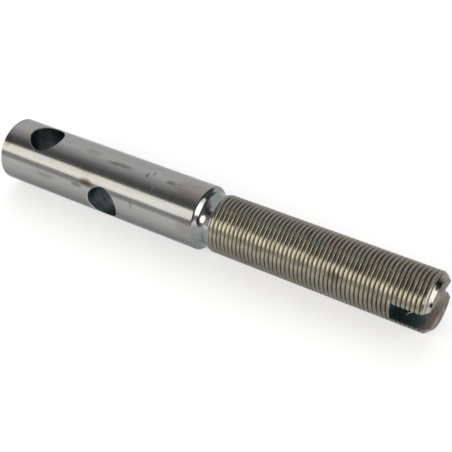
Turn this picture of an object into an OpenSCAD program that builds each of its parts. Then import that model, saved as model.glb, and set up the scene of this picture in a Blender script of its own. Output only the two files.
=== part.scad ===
// Tie rod, turned in one piece from round steel bar.
// A plain head carries two cross holes at right angles to each other. Its
// shoulder slopes in to a neck and a long shank with a fine thread, and a slot
// runs across the end of the shank.
// The rod lies along X. The origin is the centre of the end hole, on the axis.
// The turns of the thread are left off: the shank has its major diameter.

/* [Head] */
// Diameter of the head, the size of the bar
head_d = 22; // [21:0.5:30]
// Length of the head, from the plain end to the top of the shoulder's slope
head_len = 81.4; // [70:0.1:120]
// Chamfer on the rim of the plain end
plain_chamfer = 0.4; // [0.1:0.1:1]

/* [Cross holes] */
// Diameter of the end hole, which runs along Z
end_hole_d = 12; // [6:0.5:14]
// Distance from the plain end to the centre of the end hole
end_hole_inset = 15; // [10:0.5:20]
// Diameter of the middle hole, which runs along Y
middle_hole_d = 12; // [6:0.5:14]
// Distance between the centres of the two holes
hole_spacing = 30; // [20:0.5:40]

/* [Shoulder and neck] */
// Angle between the slope of the shoulder and the axis, in degrees
shoulder_angle = 50; // [30:1:75]
// Radius of the rounded edge at the top of the slope
shoulder_edge_r = 0.8; // [0.2:0.1:2]
// Radius of the hollow corner where the slope runs into the neck
neck_corner_r = 1; // [0.2:0.1:2]
// Length of the neck, from its hollow corner to the lead-in
neck_len = 1.8; // [0.5:0.1:8]
// How far the neck lies below the roots of the thread
neck_relief = 0.08; // [0.02:0.02:0.5]
// Angle between the lead-in cone and the axis, in degrees
lead_in_angle = 18; // [10:1:45]

/* [Shank] */
// Major diameter of the thread
thread_d = 20; // [16:0.5:20.5]
// Pitch of the thread, which sets how deep its roots lie
thread_pitch = 1.5; // [0.75:0.25:2.5]
// Length of the shank, from the top of the shoulder's slope to the slotted end
shank_len = 82.6; // [50:0.1:160]
// Chamfer on the rim of the slotted end
end_chamfer = 2; // [0.5:0.1:3]

/* [Slot] */
// Width of the slot across the end of the shank
slot_w = 7; // [3:0.5:10]
// Depth of the slot, from the slotted end
slot_depth = 12; // [6:0.5:30]

/* [Hidden] */
$fn = 96;

// Depth of an external 60 degree thread as a share of its pitch
thread_depth_share = 0.6134;
// Largest share of the slope that its rounded edge may take
edge_share = 0.6;
// How far the cutting tools run past the surface that they open
overcut = 1;

head_r = head_d / 2;
thread_r = thread_d / 2;
neck_r = thread_r - thread_depth_share * thread_pitch - neck_relief;
lead_in_len = (thread_r - neck_r) / tan(lead_in_angle);
// The height of the slope limits its two radii
step = head_r - neck_r;
radii_room = step / (1 - cos(shoulder_angle));
edge_r = min(shoulder_edge_r, edge_share * radii_room);
corner_r = min(neck_corner_r, radii_room - edge_r);

// Stations along the axis, measured from the plain end
slope_from = head_len;
slope_to = slope_from + step / tan(shoulder_angle);
edge_from = slope_from - edge_r * tan(shoulder_angle / 2);
neck_from = slope_to + corner_r * tan(shoulder_angle / 2);
lead_in_at = neck_from + neck_len;
thread_at = lead_in_at + lead_in_len;
slotted_end_at = slope_from + shank_len;
middle_hole_at = end_hole_inset + hole_spacing;
slot_at = slotted_end_at - slot_depth;

// Direction square to the slope, the middles of its two radii, and the point
// where the slope runs into the hollow corner
slope_normal = [cos(shoulder_angle), sin(shoulder_angle)];
edge_middle = [head_r - edge_r, edge_from];
corner_middle = [neck_r + corner_r, neck_from];
corner_top = corner_middle - corner_r * slope_normal;

// Half section of the head: radius across, length upwards, with its rim
// chamfered at the plain end and its edge rounded at the shoulder
module head_section() {
    polygon([
        [0, 0],
        [head_r - plain_chamfer, 0],
        [head_r, plain_chamfer],
        [head_r, edge_from],
        edge_middle + edge_r * slope_normal,
        [neck_r, slope_to],
        [0, slope_to]
    ]);
    translate(edge_middle)
        circle(edge_r);
}

// Half section of the neck, the lead-in cone, the shank and its end chamfer
module shank_section() {
    polygon([
        [0, 0],
        [neck_r, 0],
        [neck_r, lead_in_at],
        [thread_r, thread_at],
        [thread_r, slotted_end_at - end_chamfer],
        [thread_r - end_chamfer, slotted_end_at],
        [0, slotted_end_at]
    ]);
}

// Half section of the hollow corner that carries the slope into the neck,
// filled in to the axis so that it is one solid with them
module corner_section() {
    difference() {
        polygon([
            [0, corner_top.y],
            corner_top,
            corner_middle,
            [neck_r, neck_from],
            [0, neck_from]
        ]);
        translate(corner_middle)
            circle(corner_r);
    }
}

// The bar as it leaves the lathe, with its plain end on the YZ plane
module turned_bar() {
    rotate([0, 90, 0])
        rotate_extrude()
            union() {
                head_section();
                shank_section();
                corner_section();
            }
}

// A drill through the head, along Z
module cross_drill(hole_d, at) {
    translate([at, 0, -head_r - overcut])
        cylinder(d = hole_d, h = head_d + 2 * overcut);
}

// The cutter that opens the end of the shank, right through along Y
module slot_cutter() {
    translate([slot_at, -thread_r - overcut, -slot_w / 2])
        cube([slot_depth + overcut, thread_d + 2 * overcut, slot_w]);
}

// The finished rod
module tie_rod() {
    color([0.44, 0.435, 0.415])
        translate([-end_hole_inset, 0, 0])
            difference() {
                turned_bar();
                cross_drill(end_hole_d, end_hole_inset);
                rotate([90, 0, 0])
                    cross_drill(middle_hole_d, middle_hole_at);
                slot_cutter();
            }
}

tie_rod();
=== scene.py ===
"""A steel tie rod: a cross-drilled head, a polished shoulder and a threaded shank with a slotted end."""

import math

import bmesh
import bpy
from mathutils import Matrix, Vector


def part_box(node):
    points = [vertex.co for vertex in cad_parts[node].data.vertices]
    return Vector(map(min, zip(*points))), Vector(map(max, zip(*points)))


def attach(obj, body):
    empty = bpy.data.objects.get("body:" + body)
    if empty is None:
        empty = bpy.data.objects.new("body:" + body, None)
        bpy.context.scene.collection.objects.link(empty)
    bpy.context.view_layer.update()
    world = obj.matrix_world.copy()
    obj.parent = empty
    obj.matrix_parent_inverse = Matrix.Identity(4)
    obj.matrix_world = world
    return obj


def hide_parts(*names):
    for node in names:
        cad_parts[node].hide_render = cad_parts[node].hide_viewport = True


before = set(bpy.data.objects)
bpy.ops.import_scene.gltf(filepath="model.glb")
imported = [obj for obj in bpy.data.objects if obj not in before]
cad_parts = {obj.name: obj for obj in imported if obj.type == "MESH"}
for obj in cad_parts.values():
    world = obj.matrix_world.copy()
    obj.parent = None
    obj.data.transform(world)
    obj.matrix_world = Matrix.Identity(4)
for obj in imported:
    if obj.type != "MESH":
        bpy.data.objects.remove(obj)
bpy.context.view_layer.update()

MM = 0.001

# The camera looks down on the rod from beyond its slotted end, through a long
# lens, as in the photograph. The lens and its frame are in millimetres.
frame_width = 36.0
lens_length = 89.34
camera_place = Vector((237.52, -212.10, 248.37)) * MM
camera_turns = (46.905, 5.310, 32.821)


def in_scene(name, data):
    """A new object of this data, in the scene."""
    made = bpy.data.objects.new(name, data)
    bpy.context.collection.objects.link(made)
    return made


camera_data = bpy.data.cameras.new("photo_camera")
camera_data.sensor_width = frame_width
camera_data.lens = lens_length
camera = in_scene("photo_camera", camera_data)
camera.location = camera_place
camera.rotation_euler = [math.radians(turn) for turn in camera_turns]
bpy.context.scene.camera = camera


# The head is ground steel bar, faced and lightly chamfered at its plain end.
# Grinding leaves fine rings round it, and handling leaves stains and scuffs.
# It is turned here as rings of points, closed at the plain end.
SEGMENTS = 144

rod_low, rod_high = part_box("tie_rod")
plain_end = rod_low.x
slotted_end = rod_high.x
head_r = rod_high.z
plain_chamfer = 0.4 * MM
head_ring_gap = 2.0 * MM
head_len = 81.4 * MM

head_stations = [(plain_end, head_r - plain_chamfer), (plain_end + plain_chamfer, head_r)]
for ring in range(1, int(head_len / head_ring_gap)):
    head_stations.append((plain_end + ring * head_ring_gap, head_r))


def node(tree, kind, inputs=None, **settings):
    """Adds a node. Each input is a socket to link from, or a plain value."""
    made = tree.nodes.new(kind)
    for name, value in settings.items():
        setattr(made, name, value)
    for key, value in (inputs or {}).items():
        if isinstance(value, bpy.types.NodeSocket):
            tree.links.new(value, made.inputs[key])
        else:
            made.inputs[key].default_value = value
    return made


def calc(tree, operation, *values):
    """One sum of numbers, in a shader tree or a geometry tree."""
    return node(tree, "ShaderNodeMath", dict(enumerate(values)), operation=operation).outputs[0]


def vector_calc(tree, operation, *values):
    """One sum of vectors. A length or a dot product is a number, and the rest are vectors."""
    made = node(tree, "ShaderNodeVectorMath", dict(enumerate(values)), operation=operation)
    return made.outputs["Value" if operation in ("LENGTH", "DOT_PRODUCT") else "Vector"]


def ramp(tree, value, low, high, at_low=0.0, at_high=1.0):
    """Takes value smoothly from at_low to at_high as it goes from low to high."""
    made = node(
        tree, "ShaderNodeMapRange",
        {"Value": value, "From Min": low, "From Max": high, "To Min": at_low, "To Max": at_high},
        interpolation_type="SMOOTHSTEP",
    )
    return made.outputs["Result"]


def mixed(tree, share, first, second):
    """Mixes two colours, each a socket or three numbers."""
    made = node(tree, "ShaderNodeMix", data_type="RGBA")
    for key, value in ((0, share), (6, first), (7, second)):
        if isinstance(value, bpy.types.NodeSocket):
            tree.links.new(value, made.inputs[key])
        elif key == 0:
            made.inputs[key].default_value = value
        else:
            made.inputs[key].default_value = (*value, 1.0)
    return made.outputs[2]


def own_place(tree):
    """The place on the piece, in the piece's own coordinates."""
    return node(tree, "ShaderNodeTexCoord").outputs["Object"]


def own_parts(tree):
    """The X, Y and Z of the place on the piece."""
    return node(tree, "ShaderNodeSeparateXYZ", {0: own_place(tree)}).outputs


def off_axis(tree):
    """The place on the piece, measured square to the bar's axis."""
    return vector_calc(tree, "MULTIPLY", own_place(tree), (0.0, 1.0, 1.0))


def grain(tree, point, size, detail):
    """A noise with grains of one size."""
    scale = calc(tree, "DIVIDE", 1.0, size)
    return node(tree, "ShaderNodeTexNoise", {"Vector": point, "Scale": scale, "Detail": detail}).outputs[0]


def effect(name, output, inputs):
    """An empty shader node group, with the sockets of its inputs and of its one output."""
    group = bpy.data.node_groups.new(name, "ShaderNodeTree")
    for key, value in inputs.items():
        kind = "NodeSocketVector" if isinstance(value, tuple) else "NodeSocketFloat"
        group.interface.new_socket(key, in_out="INPUT", socket_type=kind).default_value = value
    group.interface.new_socket(output, in_out="OUTPUT", socket_type="NodeSocketFloat")
    return group, node(group, "NodeGroupInput").outputs, node(group, "NodeGroupOutput").inputs[output]


# Lines left by the tool or the wheel: grain drawn out by its own size along each axis.
lines_group, lines_in, lines_out = effect(
    "tool_lines", "Height", {"Grain Size": (0.25 * MM, 8.0 * MM, 8.0 * MM)})
lines_point = vector_calc(lines_group, "DIVIDE", own_place(lines_group), lines_in["Grain Size"])
lines_group.links.new(grain(lines_group, lines_point, size=1.0, detail=3.0), lines_out)

# Patches that come and go over the surface, such as oil, handling and bloom.
patch_group, patch_in, patch_out = effect("patches", "Mask", {"Size": 5.0 * MM, "Cover": 0.4, "Edge": 0.1})
patch_grain = grain(patch_group, own_place(patch_group), patch_in["Size"], detail=4.0)
patch_limit = calc(patch_group, "SUBTRACT", 1.0, patch_in["Cover"])
patch_low = calc(patch_group, "SUBTRACT", patch_limit, patch_in["Edge"])
patch_high = calc(patch_group, "ADD", patch_limit, patch_in["Edge"])
patch_group.links.new(ramp(patch_group, patch_grain, patch_low, patch_high), patch_out)

# One mark at one place, such as a stain, a smear, a scuff or a painted dark
# reflection. It fades out over a stretch of its distance in half sizes, which its grain makes ragged.
mark_raggedness = 1.2
mark_full_to = 0.95
mark_gone_from = 1.5

mark_group, mark_in, mark_out = effect(
    "single_mark", "Mask", {"Centre": (0.0, 0.0, 0.0), "Half Size": (MM, MM, MM), "Grain": 0.5 * MM})
mark_offset = vector_calc(mark_group, "SUBTRACT", own_place(mark_group), mark_in["Centre"])
mark_far = vector_calc(
    mark_group, "LENGTH", vector_calc(mark_group, "DIVIDE", mark_offset, mark_in["Half Size"]))
mark_grain = grain(mark_group, own_place(mark_group), mark_in["Grain"], detail=2.0)
mark_ragged = calc(mark_group, "MULTIPLY_ADD", mark_grain, mark_raggedness, mark_far)
mark_group.links.new(ramp(mark_group, mark_ragged, mark_full_to, mark_gone_from, 1.0, 0.0), mark_out)

# A painted highlight: the side of the bar that faces one way is painted brighter than the rest.
highlight_group, highlight_in, highlight_out = effect(
    "painted_highlight_side", "Mask", {"Facing": (0.0, -0.72, 0.69), "From": 0.78, "To": 0.97})
highlight_outward = vector_calc(highlight_group, "NORMALIZE", off_axis(highlight_group))
highlight_cosine = vector_calc(highlight_group, "DOT_PRODUCT", highlight_outward, highlight_in["Facing"])
highlight_group.links.new(ramp(highlight_group, highlight_cosine, highlight_in["From"], highlight_in["To"]), highlight_out)


def placed(tree, group, **values):
    """Puts an effect into a material's tree with its own values, and returns its output."""
    made = node(tree, "ShaderNodeGroup", node_tree=group)
    for name, value in values.items():
        made.inputs[name.replace("_", " ")].default_value = value
    return made.outputs[0]


# How much of a plain metal's reflection steel keeps at a grazing angle.
grazing_tint = (0.7, 0.7, 0.7, 1.0)


def bare_steel(name):
    """A bare steel material, with its node tree and its shader."""
    material = bpy.data.materials.new(name)
    material.use_nodes = True
    shader = material.node_tree.nodes["Principled BSDF"]
    shader.inputs["Metallic"].default_value = 1.0
    shader.inputs["Specular Tint"].default_value = grazing_tint
    return material, material.node_tree, shader


def feed(tree, shader, color, roughness, height, depth):
    """Links a colour, a roughness and a bump of this depth to a material's shader."""
    tree.links.new(color, shader.inputs["Base Color"])
    tree.links.new(roughness, shader.inputs["Roughness"])
    bump = node(tree, "ShaderNodeBump", {"Height": height, "Distance": depth, "Strength": 1.0})
    tree.links.new(bump.outputs["Normal"], shader.inputs["Normal"])


# The height of the tool's lines hardly leaves this range.
lines_low = 0.3
lines_high = 0.7


def feed_lined(tree, shader, color, lines, smooth, rough, depth):
    """Feeds a shader whose roughness and bump both follow the tool's lines."""
    feed(tree, shader, color, ramp(tree, lines, lines_low, lines_high, smooth, rough), lines, depth)


def on_bar(along, clock, radius):
    """A point by its millimetres along the bar, its degrees round it and its radius."""
    turn = math.radians(clock)
    return (along * MM, radius * math.cos(turn), radius * math.sin(turn))


def marked(tree, color, centre, half_length, half_width, edge_grain, mark_color, strength=1.0):
    """Lays one mark over a colour. Its half length and half width are in millimetres."""
    half_size = (half_length * MM, half_width * MM, half_width * MM)
    mark = placed(tree, mark_group, Centre=centre, Half_Size=half_size, Grain=edge_grain)
    return mixed(tree, calc(tree, "MULTIPLY", mark, strength), color, mark_color)


# The ground skin is a pale grey with warm patches and bluish streaks, and brown
# round its plain end. Its underside is painted darker, as painted shade.
ground_grey = (0.345, 0.342, 0.328)
ground_warm = (0.33, 0.30, 0.28)
ground_painted_shade = (0.14, 0.155, 0.155)
ground_blue = (0.275, 0.305, 0.325)
rim_brown = (0.38, 0.33, 0.26)
band_olive = (0.27, 0.245, 0.18)
stain_brown = (0.13, 0.085, 0.06)
tint_red = (0.235, 0.185, 0.165)
smear_dark = (0.16, 0.155, 0.15)
scratch_light = (0.62, 0.60, 0.54)

warm_strength = 0.35
blue_strength = 0.7
blue_from = 0.42
blue_to = 0.68
under_shade_from = 4.0 * MM
under_shade_to = -6.5 * MM
rim_strength = 0.5
rim_full_to = 0.3 * MM
rim_gone_from = 1.0 * MM
fine_edge = 0.5 * MM

head_steel, head_tree, head_shader = bare_steel("ground_steel")
head_parts = own_parts(head_tree)
head_lines = placed(head_tree, lines_group, Grain_Size=(0.25 * MM, 8.0 * MM, 8.0 * MM))
head_bloom = placed(head_tree, patch_group, Size=9.0 * MM, Cover=0.45, Edge=0.12)
head_drawn = placed(head_tree, lines_group, Grain_Size=(18.0 * MM, 0.5 * MM, 0.5 * MM))
head_warm = calc(head_tree, "MULTIPLY", head_bloom, warm_strength)
head_blue = ramp(head_tree, head_drawn, blue_from, blue_to, 0.0, blue_strength)
# Painted shade: the skin is painted darker towards its underside.
head_under_shade = ramp(head_tree, head_parts["Z"], under_shade_from, under_shade_to)
head_rim = ramp(
    head_tree, head_parts["X"], plain_end + rim_full_to, plain_end + rim_gone_from, rim_strength, 0.0)
head_color = mixed(head_tree, head_warm, ground_grey, ground_warm)
head_color = mixed(head_tree, head_blue, head_color, ground_blue)
head_color = mixed(head_tree, head_under_shade, head_color, ground_painted_shade)
head_color = mixed(head_tree, head_rim, head_color, rim_brown)
# Each mark has its place along the bar, its clock angle, its half length and
# half width in millimetres, its colour and its strength.
head_marks = [
    (23.2, 147.0, 3.6, 2.0, stain_brown, 0.85),
    (19.5, 158.0, 3.6, 1.1, stain_brown, 0.6),
    (22.4, 127.6, 4.6, 1.5, band_olive, 0.8),
    (33.4, 95.0, 7.0, 1.1, smear_dark, 0.9),
    (30.0, 97.5, 3.0, 0.8, smear_dark, 0.6),
    (44.2, 95.8, 0.8, 1.6, stain_brown, 0.75),
    (46.2, 88.0, 0.6, 1.5, smear_dark, 0.9),
    (53.8, 94.5, 3.0, 1.3, stain_brown, 0.7),
    (57.0, 92.5, 2.4, 0.9, tint_red, 0.8),
    (20.5, 88.5, 4.5, 2.0, tint_red, 0.5),
    (62.0, 96.0, 10.0, 6.0, tint_red, 0.55),
    (64.5, 160.0, 6.0, 5.0, tint_red, 0.5),
    (42.5, 158.0, 1.0, 2.2, smear_dark, 0.45),
    (5.5, 163.0, 6.0, 1.4, stain_brown, 0.35),
    (-7.5, 97.5, 2.6, 2.4, rim_brown, 0.8),
    (-8.0, 124.0, 9.0, 1.6, band_olive, 0.7),
    (-13.0, 125.0, 2.0, 3.0, stain_brown, 0.5),
    (56.8, 120.7, 0.3, 2.2, smear_dark, 0.8),
    (39.3, 112.2, 0.3, 1.3, smear_dark, 0.7),
    (48.6, 117.0, 0.35, 1.6, scratch_light, 0.9),
    (43.3, 125.0, 0.7, 0.4, scratch_light, 0.8),
]
for along, clock, half_length, half_width, mark_color, strength in head_marks:
    head_color = marked(
        head_tree, head_color, on_bar(along, clock, head_r), half_length, half_width,
        fine_edge, mark_color, strength)
feed_lined(head_tree, head_shader, head_color, head_lines, smooth=0.13, rough=0.20, depth=0.002 * MM)


# The shoulder slopes in from a rounded edge and runs through a hollow corner
# into the neck. It is turned and polished, painted bright at its upper front as
# a painted highlight, and dulled by a film elsewhere, with painted dark
# reflections beside its bright spots.
lead_in_slope = math.radians(18.0)
arc_step = 6.0
edge_from = plain_end + 81.03 * MM
# The profile's stretches from the edge on: the radius in millimetres, convex
# above nought, and the tilt in degrees that it turns to.
shoulder_arcs = [(0.8, 40.0), (4.2, 58.0), (-1.65, 11.0), (-4.0, -11.0)]

polished_from = edge_from + 0.5 * MM
polished_to = plain_end + 87.5 * MM

polish_highlight = (0.46, 0.46, 0.45)
polish_film = (0.25, 0.265, 0.265)
polish_dull = (0.17, 0.18, 0.18)
polish_dark_reflection = (0.13, 0.115, 0.125)

shoulder_steel, shoulder_tree, shoulder_shader = bare_steel("polished_steel")
shoulder_lines = placed(shoulder_tree, lines_group, Grain_Size=(0.15 * MM, 8.0 * MM, 8.0 * MM))
shoulder_bloom = placed(shoulder_tree, patch_group, Size=4.0 * MM, Cover=0.4, Edge=0.15)
# Painted highlight: the shoulder's upper front is painted bright.
shoulder_highlight = placed(shoulder_tree, highlight_group, Facing=(0.0, -0.656, 0.755), From=0.90, To=0.965)
shoulder_film = mixed(shoulder_tree, shoulder_bloom, polish_film, polish_dull)
shoulder_color = mixed(shoulder_tree, shoulder_highlight, shoulder_film, polish_highlight)
# Painted dark reflections beside the bright spots: place along the bar, clock
# angle, distance from the axis, half length and half width in millimetres.
shoulder_dark_reflections = [
    (68.5, 106.0, 9.08, 1.2, 2.8),
    (69.6, 113.5, 9.02, 1.6, 2.5),
    (70.8, 120.5, 9.3, 1.5, 1.4),
    (67.5, 140.0, 9.7, 0.8, 1.2),
    (68.0, 145.5, 9.28, 1.0, 1.4),
    (68.7, 149.5, 9.04, 1.0, 0.9),
]
for along, clock, reach, half_length, half_width in shoulder_dark_reflections:
    shoulder_color = marked(
        shoulder_tree, shoulder_color, on_bar(along, clock, reach * MM), half_length, half_width,
        fine_edge, polish_dark_reflection)
feed_lined(
    shoulder_tree, shoulder_shader, shoulder_color, shoulder_lines,
    smooth=0.05, rough=0.12, depth=0.0006 * MM)

shoulder_stations = [(edge_from, head_r)]
tilt = 0.0
for radius, tilt_to in shoulder_arcs:
    arc_steps = math.ceil(abs(tilt_to - tilt) / arc_step)
    for step in range(arc_steps):
        before = math.radians(tilt + (tilt_to - tilt) * step / arc_steps)
        after = math.radians(tilt + (tilt_to - tilt) * (step + 1) / arc_steps)
        place, height = shoulder_stations[-1]
        shoulder_stations.append((
            place + radius * MM * (math.sin(after) - math.sin(before)),
            height + radius * MM * (math.cos(after) - math.cos(before))))
    tilt = tilt_to
neck_r = min(height for place, height in shoulder_stations)
thread_from = shoulder_stations[-1][0]
neck_end = thread_from - (shoulder_stations[-1][1] - neck_r) / math.tan(lead_in_slope)


def band(shape, ring, following):
    """Closes the gap between two rings with faces."""
    for segment in range(len(ring)):
        after = (segment + 1) % len(ring)
        shape.faces.new((ring[segment], following[segment], following[after], ring[after]))


def finished(name, shape, *materials):
    """An object of this shape in the scene, with its materials."""
    data = bpy.data.meshes.new(name)
    shape.to_mesh(data)
    shape.free()
    for material in materials:
        data.materials.append(material)
    return in_scene(name, data)


def turned(name, stations, material):
    """A tube of rings round the X axis, one ring at each (place, radius), closed at its start."""
    shape = bmesh.new()
    rings = []
    for place, radius in stations:
        ring = []
        for segment in range(SEGMENTS):
            turn = 2.0 * math.pi * segment / SEGMENTS
            ring.append(shape.verts.new((place, radius * math.cos(turn), radius * math.sin(turn))))
        rings.append(ring)
    for ring, following in zip(rings, rings[1:]):
        band(shape, ring, following)
    shape.faces.new(rings[0])
    return finished(name, shape, material)


head = turned("turned_head", head_stations + shoulder_stations, head_steel)


# The shank carries a fine right-hand thread with flat crests, cut by a die.
# The crests carry a painted highlight on one side, and the grooves are painted
# paler than the crests as painted light against their shade. Its start tapers
# down to the neck, and its end is chamfered.
thread_pitch = 1.5 * MM
# The die leaves the crests a little under the thread's nominal radius of 10 mm.
crest_r = 9.87 * MM
groove_depth = 0.79 * MM
# Where the middle of a groove lies along the bar, at the back of the rod.
groove_at = 73.645 * MM
# The die's mouth leaves the first turn shallow. Back from this place the groove
# would fade out over the runout's length, but it loses at most this share.
full_depth_at = 73.9 * MM
runout = 1.9 * MM
most_lost = 0.8
end_chamfer = 2.0 * MM
end_r = 8.0 * MM
# One turn of the thread from groove to groove: the distance from the groove's
# middle in millimetres, and the share of the groove's depth there. The side
# of each crest that faces the slotted end is worn round.
thread_turn = [
    (0.0, 1.0), (0.05, 0.95), (0.17, 0.42), (0.28, 0.0),
    (0.98, 0.0), (1.04, 0.05), (1.22, 0.30), (1.43, 0.88),
]
# Turns to spare beyond the shank's two ends, which are pressed flat there.
spare_turns = 3
# Points closer than this are one point.
weld_gap = 0.002 * MM

crest_highlight = (0.40, 0.373, 0.30)
crest_grey = (0.235, 0.22, 0.19)
crest_dull = (0.18, 0.163, 0.135)
crest_brown = (0.17, 0.135, 0.10)
crest_tan = (0.36, 0.305, 0.26)
crest_oily = (0.085, 0.085, 0.075)
crest_cool = (0.17, 0.20, 0.19)
groove_painted_light = (0.36, 0.32, 0.26)

wear_strength = 0.5
bloom_strength = 0.55
crest_smooth = 0.21
crest_rough = 0.33
groove_roughness = 0.25
# The grooves' painted light begins at one depth under the crests and is strongest from another on.
groove_light_from = 0.35 * MM
groove_light_to = 0.65 * MM
groove_light_strength = 0.65
wear_height = 2.0
coarse_edge = 0.8 * MM

thread_steel, thread_tree, thread_shader = bare_steel("thread_steel")
thread_wear = placed(thread_tree, patch_group, Size=2.2 * MM, Cover=0.5, Edge=0.2)
thread_bloom = placed(thread_tree, patch_group, Size=7.0 * MM, Cover=0.4, Edge=0.12)
thread_grain = placed(thread_tree, patch_group, Size=0.35 * MM, Cover=0.5, Edge=0.3)
# Painted highlight: the crests are painted brighter on the side that faces the front soft box.
thread_color = mixed(thread_tree, placed(thread_tree, highlight_group), crest_grey, crest_highlight)
thread_color = mixed(
    thread_tree, calc(thread_tree, "MULTIPLY", thread_wear, wear_strength), thread_color, crest_dull)
thread_color = mixed(
    thread_tree, calc(thread_tree, "MULTIPLY", thread_bloom, bloom_strength), thread_color, crest_brown)
# Each stain has its place along the bar, its clock angle, its half length and
# half width in millimetres, its colour and its strength.
thread_marks = [
    (135.6, 176.0, 2.6, 2.6, crest_brown, 0.7),
    (118.0, 150.0, 3.0, 3.0, crest_brown, 0.5),
    (105.2, 92.0, 1.5, 2.6, crest_brown, 0.7),
    (109.5, 98.0, 3.6, 2.4, crest_cool, 0.7),
    (143.6, 153.5, 4.5, 1.6, crest_tan, 0.85),
    (142.5, 207.0, 11.0, 5.0, crest_oily, 0.85),
]
for along, clock, half_length, half_width, mark_color, strength in thread_marks:
    thread_color = marked(
        thread_tree, thread_color, on_bar(along, clock, crest_r), half_length, half_width,
        coarse_edge, mark_color, strength)
thread_radius = vector_calc(thread_tree, "LENGTH", off_axis(thread_tree))
# Painted light: the grooves are painted paler than the crests, against their shade.
groove_light_share = ramp(thread_tree, thread_radius, crest_r - groove_light_to, crest_r - groove_light_from, groove_light_strength, 0.0)
thread_color = mixed(thread_tree, groove_light_share, thread_color, groove_painted_light)
thread_roughness = calc(
    thread_tree, "MULTIPLY_ADD", groove_light_share, groove_roughness,
    ramp(thread_tree, thread_grain, 0.0, 1.0, crest_smooth, crest_rough))
thread_height = calc(thread_tree, "MULTIPLY_ADD", thread_wear, wear_height, thread_grain)
feed(thread_tree, thread_shader, thread_color, thread_roughness, thread_height, depth=0.002 * MM)

turns_before = math.ceil((groove_at - thread_from) / thread_pitch + 1)
thread_sizes = {
    "Start": thread_from,
    "End": slotted_end,
    "Groove At": groove_at - turns_before * thread_pitch,
    "Pitch": thread_pitch,
    "Crest Radius": crest_r,
    "Groove Depth": groove_depth,
    "Full Depth At": full_depth_at,
    "Runout": runout,
    "Most Lost": most_lost,
    "Neck Radius": neck_r,
    "Neck End": neck_end,
    "Lead In Slope": math.tan(lead_in_slope),
    "End Radius": end_r,
}
thread_group = bpy.data.node_groups.new("helical_thread", "GeometryNodeTree")
thread_group.interface.new_socket("Geometry", in_out="OUTPUT", socket_type="NodeSocketGeometry")
thread_sockets = {
    key: thread_group.interface.new_socket(key, in_out="INPUT", socket_type="NodeSocketFloat").identifier
    for key in thread_sizes
}
size = node(thread_group, "NodeGroupInput").outputs


def wind(operation, *values):
    """One sum in the tree that winds the thread."""
    return calc(thread_group, operation, *values)


# A flat grid, with rings along X and segments along Y, is wound round the bar.
# Its rings count through the turns, and every point moves along the bar by its
# share of the way round, which makes the helix.
turn_rings = len(thread_turn)
thread_rings = turn_rings * (math.ceil((slotted_end - thread_from) / thread_pitch) + spare_turns)
grid = node(
    thread_group, "GeometryNodeMeshGrid",
    {"Size X": 1.0, "Size Y": 1.0, "Vertices X": thread_rings + 1, "Vertices Y": SEGMENTS + 1})
grid_point = node(thread_group, "GeometryNodeInputPosition").outputs[0]
grid_parts = node(thread_group, "ShaderNodeSeparateXYZ", {0: grid_point}).outputs
ring_number = wind("ROUND", wind("MULTIPLY", wind("ADD", grid_parts["X"], 0.5), thread_rings))
turn_number = wind("FLOOR", wind("DIVIDE", wind("ADD", ring_number, 0.5), turn_rings))
ring_in_turn = wind("SUBTRACT", ring_number, wind("MULTIPLY", turn_number, turn_rings))
turn_share = wind("DIVIDE", ring_in_turn, turn_rings)
around_share = wind("ADD", grid_parts["Y"], 0.5)


def profile_curve(values):
    """A Float Curve of straight stretches through one value for each ring of a turn."""
    made = node(thread_group, "ShaderNodeFloatCurve", {"Value": turn_share})
    curve = made.mapping.curves[0]
    curve.points[0].location = (0.0, values[0])
    curve.points[1].location = (1.0, values[-1])
    for number, value in enumerate(values[1:-1], start=1):
        curve.points.new(number / (len(values) - 1), value)
    for point in curve.points:
        point.handle_type = "VECTOR"
    made.mapping.update()
    return made.outputs[0]


along_share = profile_curve([place * MM / thread_pitch for place, depth in thread_turn] + [1.0])
depth_share = profile_curve([depth for place, depth in thread_turn] + [1.0])
turns_along = wind("ADD", turn_number, wind("ADD", along_share, around_share))
free_along = wind("MULTIPLY_ADD", turns_along, size["Pitch"], size["Groove At"])
wound_along = wind("MINIMUM", wind("MAXIMUM", free_along, size["Start"]), size["End"])
# The thread's own radius, with the runout, and then the cone and the chamfer
# that cut it down at its two ends.
runout_share = wind("DIVIDE", wind("SUBTRACT", size["Full Depth At"], wound_along), size["Runout"])
lost_share = wind("MINIMUM", wind("MAXIMUM", runout_share, 0.0), size["Most Lost"])
cut_share = wind("MULTIPLY", depth_share, wind("SUBTRACT", 1.0, lost_share))
cut_radius = wind("SUBTRACT", size["Crest Radius"], wind("MULTIPLY", cut_share, size["Groove Depth"]))
past_neck = wind("MAXIMUM", wind("SUBTRACT", wound_along, size["Neck End"]), 0.0)
lead_in = wind("MULTIPLY_ADD", past_neck, size["Lead In Slope"], size["Neck Radius"])
chamfered = wind("ADD", size["End Radius"], wind("SUBTRACT", size["End"], wound_along))
wound_radius = wind("MINIMUM", cut_radius, wind("MINIMUM", lead_in, chamfered))
wound_turn = wind("MULTIPLY", around_share, 2.0 * math.pi)
wound_point = node(
    thread_group, "ShaderNodeCombineXYZ",
    {
        0: wound_along,
        1: wind("MULTIPLY", wound_radius, wind("COSINE", wound_turn)),
        2: wind("MULTIPLY", wound_radius, wind("SINE", wound_turn)),
    })
wound = node(
    thread_group, "GeometryNodeSetPosition",
    {"Geometry": grid.outputs["Mesh"], "Position": wound_point.outputs[0]})
joined = node(
    thread_group, "GeometryNodeMergeByDistance", {"Geometry": wound.outputs[0], "Distance": weld_gap})
real = node(thread_group, "GeometryNodeRealizeInstances", {"Geometry": joined.outputs[0]})
dressed = node(
    thread_group, "GeometryNodeSetMaterial", {"Geometry": real.outputs[0], "Material": thread_steel})
node(thread_group, "NodeGroupOutput", {"Geometry": dressed.outputs[0]})

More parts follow.
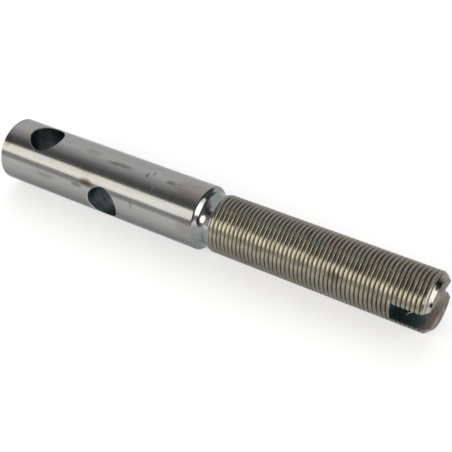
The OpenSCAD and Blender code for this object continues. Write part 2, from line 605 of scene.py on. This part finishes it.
shank = in_scene("threaded_shank", bpy.data.meshes.new("threaded_shank"))
winding = shank.modifiers.new("winding", "NODES")
winding.node_group = thread_group
for key, value in thread_sizes.items():
    winding[thread_sockets[key]] = value


def evaluated_mesh(piece):
    """A plain mesh of the piece as it shows, with its modifiers worked in."""
    shown = piece.evaluated_get(bpy.context.evaluated_depsgraph_get())
    return bpy.data.meshes.new_from_object(shown)


def work_in(piece):
    """Works the piece's modifiers into its mesh and clears them."""
    data = evaluated_mesh(piece)
    piece.modifiers.clear()
    piece.data = data


work_in(shank)


# The ends are faced in the lathe, which leaves rings round the middle. The
# slotted end is chamfered, with a painted highlight on the front of its chamfer,
# and stained brown on its face.
faced_grey = (0.36, 0.35, 0.33)
chamfer_highlight = (0.42, 0.405, 0.36)
chamfer_dull = (0.25, 0.23, 0.205)
face_tan = (0.26, 0.215, 0.185)
face_brown = (0.12, 0.085, 0.07)
end_black = (0.03, 0.025, 0.025)

tan_strength = 0.5
# The face's stain fades out over the chamfer, between these two depths.
stain_gone_from = 0.2 * MM
stain_full_to = 0.02 * MM

rings_group, rings_in, rings_out = effect("face_rings", "Height", {"Ring Width": 0.3 * MM})
rings_radius = vector_calc(rings_group, "LENGTH", off_axis(rings_group))
rings_noise = node(
    rings_group, "ShaderNodeTexNoise",
    {"W": calc(rings_group, "DIVIDE", rings_radius, rings_in["Ring Width"]), "Scale": 1.0},
    noise_dimensions="1D")
rings_group.links.new(rings_noise.outputs[0], rings_out)

faced_steel, faced_tree, faced_shader = bare_steel("faced_steel")
faced_rings = placed(faced_tree, rings_group, Ring_Width=0.35 * MM)
faced_bloom = placed(faced_tree, patch_group, Size=6.0 * MM, Cover=0.4, Edge=0.15)
faced_color = mixed(
    faced_tree, calc(faced_tree, "MULTIPLY", faced_bloom, tan_strength), faced_grey, face_tan)
feed_lined(faced_tree, faced_shader, faced_color, faced_rings, smooth=0.2, rough=0.32, depth=0.006 * MM)

end_steel, end_tree, end_shader = bare_steel("end_steel")
end_rings = placed(end_tree, rings_group, Ring_Width=0.25 * MM)
end_stain = placed(end_tree, patch_group, Size=4.0 * MM, Cover=0.5, Edge=0.12)
# Painted highlight: the chamfer's front is painted pale.
end_highlight = placed(end_tree, highlight_group, Facing=(0.0, -0.616, 0.788), From=0.80, To=0.90)
on_face = ramp(
    end_tree, own_parts(end_tree)["X"], slotted_end - stain_gone_from, slotted_end - stain_full_to)
end_color = mixed(
    end_tree, on_face, mixed(end_tree, end_highlight, chamfer_dull, chamfer_highlight),
    mixed(end_tree, end_stain, face_tan, face_brown))
# Dark marks on the chamfer: place along the bar, clock angle, distance from the
# axis and half size in millimetres.
end_marks = [(148.6, 94.5, 8.5, 2.6), (148.9, 138.5, 8.1, 1.1), (147.8, 149.0, 9.25, 0.4)]
for along, clock, reach, half_size in end_marks:
    end_color = marked(
        end_tree, end_color, on_bar(along, clock, reach * MM), half_size, half_size, coarse_edge, end_black)
feed_lined(end_tree, end_shader, end_color, end_rings, smooth=0.2, rough=0.3, depth=0.004 * MM)


# Head, shoulder and shank are one bar of steel, so here they join in one
# closed skin. Each face takes the steel of the stretch that it lies on.
bar_steels = (head_steel, shoulder_steel, thread_steel, faced_steel, end_steel)
face_tolerance = 0.01 * MM
chamfer_tolerance = 0.04 * MM


def steel_at(spot):
    """The material of the bar's skin at a spot on it."""
    if spot.x < plain_end + face_tolerance:
        return faced_steel
    if spot.x < polished_from:
        return head_steel
    if spot.x < polished_to:
        return shoulder_steel
    chamfer_reach = end_r + slotted_end - spot.x - chamfer_tolerance
    if math.hypot(spot.y, spot.z) > chamfer_reach or spot.x > slotted_end - face_tolerance:
        return end_steel
    return thread_steel


bar = bmesh.new()
bar.from_mesh(head.data)
bar.from_mesh(shank.data)
bmesh.ops.remove_doubles(bar, verts=bar.verts, dist=weld_gap)
end_rim = [edge for edge in bar.edges if edge.is_boundary]
bmesh.ops.contextual_create(bar, geom=end_rim)
bmesh.ops.recalc_face_normals(bar, faces=bar.faces)
for face in bar.faces:
    face.material_index = bar_steels.index(steel_at(face.calc_center_median()))
rod = finished("tie_rod_steel", bar, *bar_steels)
for blank in (head, shank):
    bpy.data.objects.remove(blank)


# Two cross holes of 12 mm are drilled right through the head, the first from
# top to bottom and the second from front to back. Their walls keep the drill's
# rings and some dark cutting oil, and their rims are rounded with a file.
bore_r = 6.0 * MM
rim_r = 0.3 * MM
# The cutter's flare ends this far over the skin, so that it cuts it cleanly.
rim_over = 0.012 * MM
rim_steps = 3
bore_segments = 96
end_bore_at = 0.0
middle_bore_at = 30.0 * MM
clear_of_bar = 14.0 * MM

bore_grey = (0.49, 0.505, 0.525)
bore_oil = (0.16, 0.20, 0.215)
# Painted light and shade: the end hole's wall is painted darker than the
# middle one's, and the middle one's lighter than the plain steel.
end_bore_painted_shade = 0.62
middle_bore_painted_light = 1.1
# Oil lies half in the drill's rings, from one height of them to another, and
# half in patches.
ring_oil_from = 0.42
ring_oil_to = 0.6
ring_oil_share = 0.5


def drilled_steel(name, grain_size, brightness):
    """The wall of a drilled hole, with rings of its own direction, and its colours scaled by its own
    brightness as painted light and shade.
    """
    material, tree, shader = bare_steel(name)
    lines = placed(tree, lines_group, Grain_Size=grain_size)
    patches = placed(tree, patch_group, Size=4.0 * MM, Cover=0.55, Edge=0.2)
    oiled = calc(
        tree, "MULTIPLY_ADD", ramp(tree, lines, ring_oil_from, ring_oil_to), ring_oil_share,
        calc(tree, "MULTIPLY", patches, 1.0 - ring_oil_share))
    clean = [level * brightness for level in bore_grey]
    dark = [level * brightness for level in bore_oil]
    feed_lined(tree, shader, mixed(tree, oiled, clean, dark), lines, smooth=0.25, rough=0.4, depth=0.015 * MM)
    return material


def skin_height(across):
    """How far the head's skin lies from the axis plane at this distance across."""
    return math.sqrt(head_r * head_r - across * across)


def drill(at, turn, material):
    """A cutter along Z through the head, flared round at the skin, turned round X."""
    # Each ring is a radius, and a height over or under the skin there.
    upper = [(bore_r, -2.0 * rim_r)]
    for step in range(rim_steps + 1):
        angle = 0.5 * math.pi * step / rim_steps
        upper.append((bore_r + rim_r * (1.0 - math.cos(angle)), rim_r * (math.sin(angle) - 1.0) + rim_over))
    upper.append((bore_r + 2.0 * rim_r, 0.5 * rim_r))
    cutter = bmesh.new()
    rings = []
    for side in (-1, 1):
        for radius, over in upper[::side]:
            ring = []
            for segment in range(bore_segments):
                angle = 2.0 * math.pi * (segment + 0.5) / bore_segments
                across = radius * math.sin(angle)
                height = side * (skin_height(across) + over)
                ring.append(cutter.verts.new((at + radius * math.cos(angle), across, height)))
            rings.append(ring)
    for ring, following in zip(rings, rings[1:]):
        band(cutter, ring, following)
    # The ends run straight on, clear of the bar.
    for ring, level in ((rings[0], -clear_of_bar), (rings[-1], clear_of_bar)):
        far = [cutter.verts.new((vert.co.x, vert.co.y, level)) for vert in ring]
        band(cutter, ring, far)
        cutter.faces.new(far)
    bmesh.ops.recalc_face_normals(cutter, faces=cutter.faces)
    bmesh.ops.transform(cutter, matrix=Matrix.Rotation(turn, 4, "X"), verts=cutter.verts)
    return finished("drill", cutter, material)


def cut(piece, cutter):
    """Takes the cutter's shape out of the piece, whose new faces keep the cutter's material."""
    cutting = piece.modifiers.new("cut", "BOOLEAN")
    cutting.operation = "DIFFERENCE"
    cutting.solver = "EXACT"
    cutting.material_mode = "TRANSFER"
    cutting.object = cutter
    work_in(piece)
    bpy.data.objects.remove(cutter)


end_bore_shaded_steel = drilled_steel("end_bore_shaded_steel", (8.0 * MM, 8.0 * MM, 0.4 * MM), end_bore_painted_shade)
middle_bore_lit_steel = drilled_steel("middle_bore_lit_steel", (8.0 * MM, 0.4 * MM, 8.0 * MM), middle_bore_painted_light)
cut(rod, drill(end_bore_at, 0.0, end_bore_shaded_steel))
cut(rod, drill(middle_bore_at, math.radians(90.0), middle_bore_lit_steel))


# The slot is milled across the threaded end, right through from front to back.
# Its walls keep fine lines from the cutter and patches of bluish oil, and they
# turn to the same dark colour towards the slot's floor.
slot_half = 3.5 * MM
slot_floor = 137.0 * MM

slot_grey = (0.38, 0.44, 0.43)
slot_oil = (0.16, 0.22, 0.22)
slot_tan = (0.34, 0.275, 0.225)

mouth_dark = 0.2
deep_dark_share = 0.6
# Rust has bloomed on the walls near the open end, in patches that fade out
# between these two depths, and it is no longer bare metal.
rust_gone_from = 6.0 * MM
rust_full_to = 2.5 * MM
rust_raggedness = 3.0 * MM
rust_cover = 0.6

slot_steel, slot_tree, slot_shader = bare_steel("milled_steel")
slot_along = own_parts(slot_tree)["X"]
slot_lines = placed(slot_tree, lines_group, Grain_Size=(0.25 * MM, 4.0 * MM, 0.25 * MM))
slot_patches = placed(slot_tree, patch_group, Size=3.0 * MM, Cover=0.55, Edge=0.25)
# The walls darken towards the slot's floor.
slot_deep_dark = ramp(slot_tree, slot_along, slot_floor, slotted_end, 1.0, mouth_dark)
slot_oil_and_depth = calc(
    slot_tree, "MULTIPLY_ADD", slot_deep_dark, deep_dark_share,
    calc(slot_tree, "MULTIPLY", slot_patches, 1.0 - deep_dark_share))
slot_rusty = ramp(
    slot_tree, calc(slot_tree, "MULTIPLY_ADD", slot_patches, -rust_raggedness, slot_along),
    slotted_end - rust_gone_from, slotted_end - rust_full_to)
slot_color = mixed(slot_tree, slot_rusty, mixed(slot_tree, slot_oil_and_depth, slot_grey, slot_oil), slot_tan)
feed_lined(slot_tree, slot_shader, slot_color, slot_lines, smooth=0.25, rough=0.4, depth=0.01 * MM)
slot_tree.links.new(
    calc(slot_tree, "MULTIPLY_ADD", slot_rusty, -rust_cover, 1.0), slot_shader.inputs["Metallic"])

mill = bmesh.new()
bmesh.ops.create_cube(
    mill, size=1.0,
    matrix=Matrix.Translation((slot_floor + clear_of_bar, 0.0, 0.0))
    @ Matrix.Diagonal((2.0 * clear_of_bar, 2.0 * clear_of_bar, 2.0 * slot_half, 1.0)))
cut(rod, finished("mill", mill, slot_steel))


# The turned skin reflects smoothly. Its faces get the normals of the true
# cylinders, and light breaks only at real edges.
sharp_from = math.radians(38.0)
skin_tolerance = 0.003 * MM


def on_cylinder(spots, radius):
    """Whether all the spots lie on the cylinder of this radius round the bar's axis."""
    return all(abs(math.hypot(spot.y, spot.z) - radius) < skin_tolerance for spot in spots)


def smooth_skin(piece, radii):
    """Shades the piece smoothly, and faces that lie on a cylinder of one of the radii exactly."""
    data = piece.data
    data.shade_smooth()
    data.set_sharp_from_angle(angle=sharp_from)
    normals = [(0.0, 0.0, 0.0)] * len(data.loops)
    for face in data.polygons:
        spots = [data.vertices[number].co for number in face.vertices]
        if any(on_cylinder(spots, radius) for radius in radii):
            for loop, spot in zip(face.loop_indices, spots):
                normals[loop] = Vector((0.0, spot.y, spot.z)).normalized()
    data.normals_split_custom_set(normals)


smooth_skin(rod, (head_r, crest_r))
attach(rod, "root")
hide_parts("tie_rod")


# The cutter pushed a small bead of steel over the slot's edge from every crest
# it crossed. The beads stay where the cutter left them, pressed into the edge,
# bright along the upper edges and stained along the lower ones.
bead_size = Vector((0.26, 0.17, 0.32)) * MM
# How far a bead lies along the bar from the groove before it.
upper_bead_offset = 1.05 * MM
lower_bead_offset = 0.7 * MM
# How far a bead's middle lies inside the crests, and out into the slot.
bead_sunk = 0.12 * MM
bead_proud = 0.06 * MM
# The row runs from just past the slot's floor to just past the end's chamfer.
bead_past = 0.3 * MM
# A knock raised one more bead on a crest short of the slot: its place along the
# bar and clock angle, how far it lies inside the crest, and its share in size.
knock_at = (134.1, 104.3)
knock_sunk = 0.1 * MM
knock_share = 0.8

bead_bright = (0.50, 0.48, 0.42)
bead_grey = (0.36, 0.34, 0.29)
bead_brown = (0.31, 0.28, 0.25)
stain_half_height = 1.0 * MM

burr_steel, burr_tree, burr_shader = bare_steel("burr_steel")
burr_stained = ramp(burr_tree, own_parts(burr_tree)["Z"], stain_half_height, -stain_half_height)
burr_grain = placed(burr_tree, patch_group, Size=0.3 * MM, Cover=0.5, Edge=0.3)
burr_color = mixed(burr_tree, burr_stained, mixed(burr_tree, burr_grain, bead_bright, bead_grey), bead_brown)
burr_roughness = ramp(burr_tree, burr_grain, 0.0, 1.0, 0.2, 0.35)
feed(burr_tree, burr_shader, burr_color, burr_roughness, burr_grain, depth=0.004 * MM)

beads = bmesh.new()


def add_bead(place, share=1.0):
    """One bead of steel, at a place and at a share of the full size."""
    bmesh.ops.create_icosphere(
        beads, subdivisions=2, radius=1.0,
        matrix=Matrix.Translation(place) @ Matrix.Diagonal((*(bead_size * share), 1.0)))


edge_reach = math.sqrt(crest_r * crest_r - slot_half * slot_half)
for front in (-1.0, 1.0):
    for up, offset in ((1.0, upper_bead_offset), (-1.0, lower_bead_offset)):
        clock_share = math.atan2(up * slot_half, front * edge_reach) / (2.0 * math.pi) % 1.0
        first = groove_at + clock_share * thread_pitch + offset
        bead_at = first + math.ceil((slot_floor + bead_past - first) / thread_pitch) * thread_pitch
        while bead_at < slotted_end - end_chamfer + bead_past:
            add_bead((bead_at, front * (edge_reach - bead_sunk), up * (slot_half - bead_proud)))
            bead_at += thread_pitch
add_bead(on_bar(*knock_at, crest_r - knock_sunk), knock_share)

slot_beads = finished("slot_beads", beads, burr_steel)
slot_beads.data.shade_smooth()
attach(slot_beads, "root")


# One sliver of steel still hangs in the slot's front mouth, torn from its
# upper edge by the cutter. It is thick at its root and curls to a fine tip.
sliver_r = 0.15 * MM
sliver_tip_share = 0.35
# The root and the tip: the place, the handle before it, the handle after it,
# all in millimetres, and the share of the sliver's radius.
sliver_ends = [
    ((144.3, -9.3, 3.5), (144.9, -8.9, 3.8), (143.7, -9.7, 3.2), 1.0),
    ((142.6, -9.6, 1.5), (142.9, -9.75, 2.6), (142.5, -9.5, 1.1), sliver_tip_share),
]

sliver_curve = bpy.data.curves.new("sliver_path", "CURVE")
sliver_curve.dimensions = "3D"
sliver_curve.bevel_depth = sliver_r
sliver_curve.bevel_resolution = 2
sliver_curve.use_fill_caps = True
sliver_path = sliver_curve.splines.new("BEZIER")
sliver_path.bezier_points.add(len(sliver_ends) - 1)
for point, (place, before, after, share) in zip(sliver_path.bezier_points, sliver_ends):
    point.co = [value * MM for value in place]
    point.handle_left = [value * MM for value in before]
    point.handle_right = [value * MM for value in after]
    point.radius = share
sliver_bend = in_scene("sliver_path", sliver_curve)
slot_sliver = in_scene("slot_sliver", evaluated_mesh(sliver_bend))
bpy.data.objects.remove(sliver_bend)
slot_sliver.data.shade_smooth()
slot_sliver.data.materials.append(burr_steel)
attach(slot_sliver, "root")


# The studio is a pale floor under a white tent that is dark overhead. A long
# soft box stands in front of the rod and a smaller one beyond its slotted end.
floor_half = 3.0
floor_pale = (0.9, 0.9, 0.9, 1.0)
floor_roughness = 0.9
floor_light = (0.52, 0.52, 0.52)
black = (0.0, 0.0, 0.0)
white = (1.0, 1.0, 1.0)

floor_paint = bpy.data.materials.new("floor_paint")
floor_paint.use_nodes = True
floor_tree = floor_paint.node_tree
floor_shader = floor_tree.nodes["Principled BSDF"]
floor_shader.inputs["Base Color"].default_value = floor_pale
floor_shader.inputs["Roughness"].default_value = floor_roughness


def seen_directly(tree):
    """One for rays from the camera and for what metal or glass shows of them, else nought."""
    rays = node(tree, "ShaderNodeLightPath").outputs
    mirrored = calc(tree, "MAXIMUM", rays["Is Glossy Ray"], rays["Is Transmission Ray"])
    return calc(tree, "MAXIMUM", rays["Is Camera Ray"], mirrored)


# The floor shows white, and its own shading still carries the rod's shadow.
floor_glow = mixed(floor_tree, seen_directly(floor_tree), black, floor_light)
floor_tree.links.new(floor_glow, floor_shader.inputs["Emission Color"])
floor_shader.inputs["Emission Strength"].default_value = 1.0

floor_shape = bmesh.new()
bmesh.ops.create_grid(floor_shape, x_segments=1, y_segments=1, size=floor_half)
floor = finished("floor", floor_shape, floor_paint)
floor.data.transform(Matrix.Translation((0.0, 0.0, rod_low.z)))

# Brightness of the tent by the angle round the rod, from the floor behind it
# over the top to the floor in front. Beyond the slotted end it is dark above.
tent_angles = [
    (0, 0.97), (57, 0.97), (65, 0.76), (81, 0.56), (95, 0.28), (108, 0.15),
    (120, 0.16), (161, 0.50), (171, 0.50), (176, 0.56), (180, 0.72),
]
end_side_from = 0.1
end_side_to = 0.35
end_level_low = 0.9
end_level_high = 0.15
end_dark_from = 0.02
end_dark_to = 0.14

world = bpy.data.worlds.new("white_tent")
world.use_nodes = True
bpy.context.scene.world = world
sky = world.node_tree
background = sky.nodes["Background"]
sky_direction = node(sky, "ShaderNodeTexCoord").outputs["Generated"]
sky_parts = node(sky, "ShaderNodeSeparateXYZ", {0: sky_direction}).outputs
sky_angle = calc(sky, "ARCTAN2", sky_parts["Z"], sky_parts["Y"])
tent = node(sky, "ShaderNodeValToRGB", {"Fac": calc(sky, "DIVIDE", sky_angle, math.pi)})
# A new colour ramp has two stops already.
stops = tent.color_ramp.elements
for number, (angle, level) in enumerate(tent_angles):
    stop = stops[number] if number < 2 else stops.new(angle / 180)
    stop.position = angle / 180
    stop.color = (level, level, level, 1.0)
end_side = ramp(sky, sky_parts["X"], end_side_from, end_side_to)
end_level = ramp(sky, sky_parts["Z"], end_dark_from, end_dark_to, end_level_low, end_level_high)
tent_color = mixed(sky, end_side, tent.outputs["Color"], end_level)
camera_sees = node(sky, "ShaderNodeLightPath").outputs["Is Camera Ray"]
sky.links.new(mixed(sky, camera_sees, tent_color, white), background.inputs["Color"])
background.inputs["Strength"].default_value = 1.0


def soft_box(name, place, target, length, height, brightness, color):
    """An oval soft box that faces the target, as bright as a white surface times its brightness."""
    lamp = bpy.data.lights.new(name, "AREA")
    lamp.shape = "ELLIPSE"
    lamp.size = length
    lamp.size_y = height
    lamp.energy = brightness * math.pi * length * height * math.pi / 4.0
    lamp.color = color
    box = in_scene(name, lamp)
    box.location = place
    box.rotation_euler = (target - place).to_track_quat("-Z", "Y").to_euler()


front_box_along = -0.55
front_box_far = 0.9
front_box_turn = math.radians(143.5)
front_box_place = Vector((
    front_box_along, front_box_far * math.cos(front_box_turn), front_box_far * math.sin(front_box_turn)))
soft_box(
    "front_box", front_box_place, Vector((front_box_along, 0.0, 0.0)),
    length=1.5, height=0.53, brightness=1.8, color=(1.0, 0.96, 0.86))
soft_box(
    "end_box", Vector((0.85, 0.04, 0.31)), Vector((0.1, 0.0, 0.0)),
    length=0.75, height=0.50, brightness=2.3, color=(1.0, 0.98, 0.95))

bpy.context.scene.view_settings.view_transform = "Standard"
